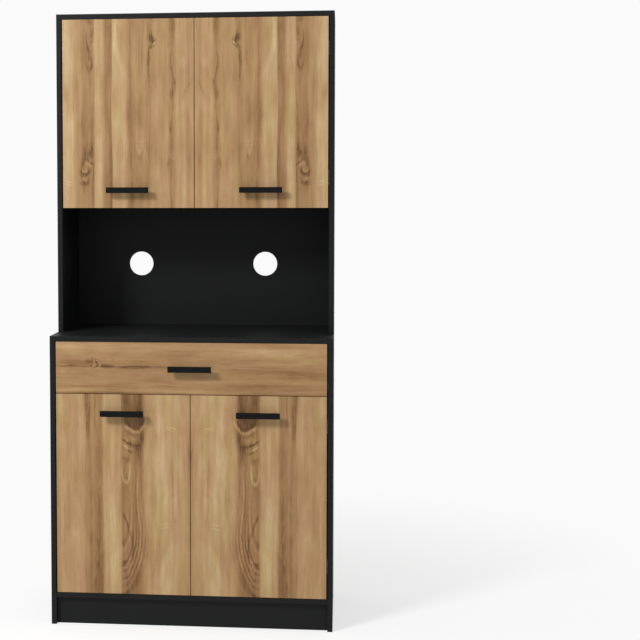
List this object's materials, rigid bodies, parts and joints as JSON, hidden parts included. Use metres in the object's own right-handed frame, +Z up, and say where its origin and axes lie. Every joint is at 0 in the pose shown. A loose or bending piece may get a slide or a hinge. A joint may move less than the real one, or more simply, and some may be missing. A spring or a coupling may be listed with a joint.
{
  "type": "kitchen storage cabinet",
  "caption": "Tall kitchen cabinet: two-door base with a drawer, worktop, open appliance niche and two-door upper cupboard, black frame with oak fronts.",
  "frame": {"origin": "on the floor, under the middle of the cabinet's outline with its handles", "axes": "+X to the right seen from the front, +Y towards the back, +Z up; the doors face -Y"},
  "size_m": [0.825, 0.43, 1.8],
  "materials": {
    "black_board": "black melamine over chipboard, fine pressed grain, matt",
    "oak_front": "rustic oak decor melamine over chipboard, matt",
    "back_board": "black lacquered hardboard, smooth",
    "drawer_board": "black foil wrapped chipboard, matt",
    "black_metal": "matt black powder coat",
    "beech": "fluted beech, raw",
    "zinc": "die-cast zinc, plain",
    "runner_paint": "white epoxy coated steel",
    "nylon": "white nylon",
    "plated_steel": "bright nickel plated steel"
  },
  "bodies": {
    "root": {"back_panel_nails": "plated_steel", "base_back_panel": "back_board", "base_bottom": "black_board", "base_shelf": "black_board", "base_side_left": "black_board", "base_side_right": "black_board", "cabinet_runner_left": "runner_paint", "cabinet_runner_right": "runner_paint", "cabinet_runner_screws": "plated_steel", "cam_bolts": "plated_steel", "cam_locks": "zinc", "dowels": "beech", "drawer_rail": "black_board", "hinge_arms": "plated_steel", "hinge_plate_screws": "plated_steel", "hinge_plates": "plated_steel", "hutch_back_panel": "back_board", "hutch_bottom": "black_board", "hutch_shelf": "black_board", "hutch_side_left": "black_board", "hutch_side_right": "black_board", "hutch_top": "black_board", "plinth": "black_board", "shelf_pins": "plated_steel", "wall_bracket": "plated_steel", "wall_bracket_screws": "plated_steel", "worktop": "black_board"},
    "upper_left_door": {"upper_door_left": "oak_front", "upper_handle_left": "black_metal", "upper_hinge_cups_left": "plated_steel", "upper_door_screws_left": "plated_steel"},
    "upper_right_door": {"upper_door_right": "oak_front", "upper_handle_right": "black_metal", "upper_hinge_cups_right": "plated_steel", "upper_door_screws_right": "plated_steel"},
    "base_left_door": {"base_door_left": "oak_front", "base_handle_left": "black_metal", "base_hinge_cups_left": "plated_steel", "base_door_screws_left": "plated_steel"},
    "base_right_door": {"base_door_right": "oak_front", "base_handle_right": "black_metal", "base_hinge_cups_right": "plated_steel", "base_door_screws_right": "plated_steel"},
    "drawer": {"drawer_front": "oak_front", "drawer_handle": "black_metal", "drawer_handle_screws": "plated_steel", "drawer_side_left": "drawer_board", "drawer_side_right": "drawer_board", "drawer_back": "drawer_board", "drawer_bottom": "back_board", "drawer_dowels": "beech", "drawer_back_screws": "plated_steel", "drawer_runner_left": "runner_paint", "drawer_runner_right": "runner_paint", "drawer_runner_screws": "plated_steel"},
    "cabinet_roller_left_wheel": {"cabinet_roller_left": "nylon"},
    "cabinet_roller_right_wheel": {"cabinet_roller_right": "nylon"},
    "drawer_roller_left_wheel": {"drawer_roller_left": "nylon"},
    "drawer_roller_right_wheel": {"drawer_roller_right": "nylon"}
  },
  "joints": [
    {"name": "upper_left_door_hinge", "type": "hinge", "parent": "root", "child": "upper_left_door", "pos_m": [-0.386, -0.0485, 1.5025], "axis": [0, 0, -1], "range_deg": [0, 100]},
    {"name": "upper_right_door_hinge", "type": "hinge", "parent": "root", "child": "upper_right_door", "pos_m": [0.386, -0.0485, 1.5025], "axis": [0, 0, 1], "range_deg": [0, 100]},
    {"name": "base_left_door_hinge", "type": "hinge", "parent": "root", "child": "base_left_door", "pos_m": [-0.386, -0.1785, 0.39025], "axis": [0, 0, -1], "range_deg": [0, 100]},
    {"name": "base_right_door_hinge", "type": "hinge", "parent": "root", "child": "base_right_door", "pos_m": [0.386, -0.1785, 0.39025], "axis": [0, 0, 1], "range_deg": [0, 100]},
    {"name": "drawer_slide", "type": "slide", "parent": "root", "child": "drawer", "axis": [0, -1, 0], "range_m": [0, 0.27]},
    {"name": "cabinet_roller_left_spin", "type": "hinge", "parent": "root", "child": "cabinet_roller_left_wheel", "pos_m": [-0.391, -0.153, 0.7117], "axis": [1, 0, 0], "range_deg": [0, 1665]},
    {"name": "cabinet_roller_right_spin", "type": "hinge", "parent": "root", "child": "cabinet_roller_right_wheel", "pos_m": [0.391, -0.153, 0.7117], "axis": [1, 0, 0], "range_deg": [0, 1665]},
    {"name": "drawer_roller_left_spin", "type": "hinge", "parent": "drawer", "child": "drawer_roller_left_wheel", "pos_m": [-0.391, 0.166, 0.7117], "axis": [1, 0, 0], "range_deg": [0, 2065]},
    {"name": "drawer_roller_right_spin", "type": "hinge", "parent": "drawer", "child": "drawer_roller_right_wheel", "pos_m": [0.391, 0.166, 0.7117], "axis": [1, 0, 0], "range_deg": [0, 2065]}
  ],
  "couplings": [
    {"joint": "cabinet_roller_left_spin", "follows": "drawer_slide", "rad_per_m": 107.53},
    {"joint": "cabinet_roller_right_spin", "follows": "drawer_slide", "rad_per_m": 107.53},
    {"joint": "drawer_roller_left_spin", "follows": "drawer_slide", "rad_per_m": 133.33},
    {"joint": "drawer_roller_right_spin", "follows": "drawer_slide", "rad_per_m": 133.33}
  ]
}
